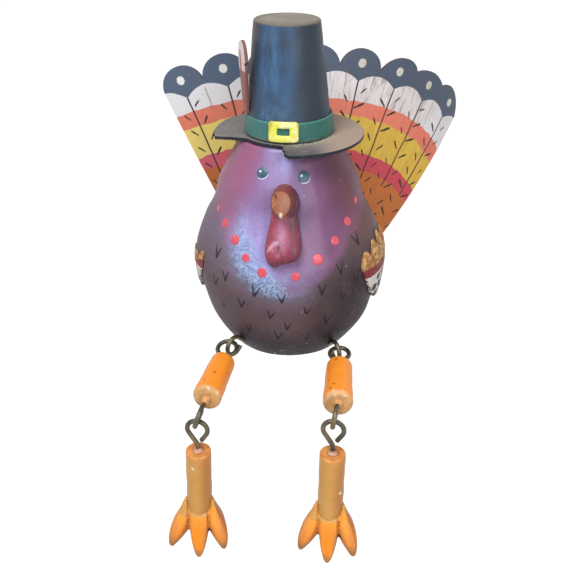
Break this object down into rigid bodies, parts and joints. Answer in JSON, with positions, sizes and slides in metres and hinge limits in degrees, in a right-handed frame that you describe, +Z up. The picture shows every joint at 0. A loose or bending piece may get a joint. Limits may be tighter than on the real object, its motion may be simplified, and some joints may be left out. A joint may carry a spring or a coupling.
{
  "type": "thanksgiving turkey figure",
  "caption": "Wooden turkey shelf sitter in a pilgrim hat: a gourd-shaped painted body with a bowed scalloped fan tail and dangling dowel legs linked by screw eyes.",
  "frame": {"origin": "centre of the flat seat face under the body", "axes": "+Z up from the seat to the hat's top, -Y towards the beak and the toes, +X to the viewer's right when the face is seen"},
  "size_m": [0.162, 0.2082, 0.2325],
  "materials": {
    "body_paint": "dark mauve brown paint with red dots and yellow-green V marks, worn satin gloss",
    "wing_paint": "gold lobes, dark red band and white lower feathers with black dashes, satin",
    "tail_paint": "curved bands of slate blue, white, coral, yellow, red and orange with dark quill lines, worn satin",
    "beak_paint": "ochre orange paint, semi-gloss",
    "flesh_paint": "dark red paint, semi-gloss",
    "brim_paint": "worn grey-brown with a dark edge, matt",
    "crown_paint": "slate blue paint brushed with lighter blue, worn at the top edge",
    "band_paint": "dark teal green paint, satin",
    "buckle_paint": "pale yellow paint, satin",
    "feather_paint": "white and red face with a reddish brown edge, satin",
    "leg_orange": "bright orange paint, satin",
    "shin_tan": "tan orange stain, satin",
    "eye_wire": "dull dark bronze wire"
  },
  "bodies": {
    "root": {"body": "body_paint", "beak": "beak_paint", "snood": "flesh_paint", "wattle": "flesh_paint", "wing_left": "wing_paint", "wing_right": "wing_paint", "tail_fan": "tail_paint", "hat_brim": "brim_paint", "hat_crown": "crown_paint", "hat_band": "band_paint", "hat_buckle": "buckle_paint", "hat_feather": "feather_paint", "body_eye_left": "eye_wire", "body_eye_right": "eye_wire"},
    "upper_leg_left": {"thigh_top_eye_left": "eye_wire", "thigh_left": "leg_orange", "thigh_bottom_eye_left": "eye_wire"},
    "lower_leg_left": {"shin_eye_left": "eye_wire", "shin_left": "shin_tan", "toe_middle_left": "leg_orange", "toe_inner_left": "leg_orange", "toe_outer_left": "leg_orange"},
    "upper_leg_right": {"thigh_top_eye_right": "eye_wire", "thigh_right": "leg_orange", "thigh_bottom_eye_right": "eye_wire"},
    "lower_leg_right": {"shin_eye_right": "eye_wire", "shin_right": "shin_tan", "toe_middle_right": "leg_orange", "toe_inner_right": "leg_orange", "toe_outer_right": "leg_orange"}
  },
  "joints": [
    {"name": "hip_left", "type": "hinge", "parent": "root", "child": "upper_leg_left", "pos_m": [-0.02436, -0.03532, 0.0099], "axis": [0.9965, -0.0837, 0], "range_deg": [-60, 45]},
    {"name": "hip_right", "type": "hinge", "parent": "root", "child": "upper_leg_right", "pos_m": [0.02636, -0.03232, 0.008], "axis": [0.9998, 0.0209, 0], "range_deg": [-60, 60]},
    {"name": "knee_left", "type": "hinge", "parent": "upper_leg_left", "child": "lower_leg_left", "pos_m": [-0.03296, -0.08777, 0.00198], "axis": [0.9957, -0.0871, -0.0314], "range_deg": [-90, 30]},
    {"name": "knee_right", "type": "hinge", "parent": "upper_leg_right", "child": "lower_leg_right", "pos_m": [0.02813, -0.08572, 0.00486], "axis": [0.9945, -0.1045, -0.0052], "range_deg": [-90, 30]}
  ]
}
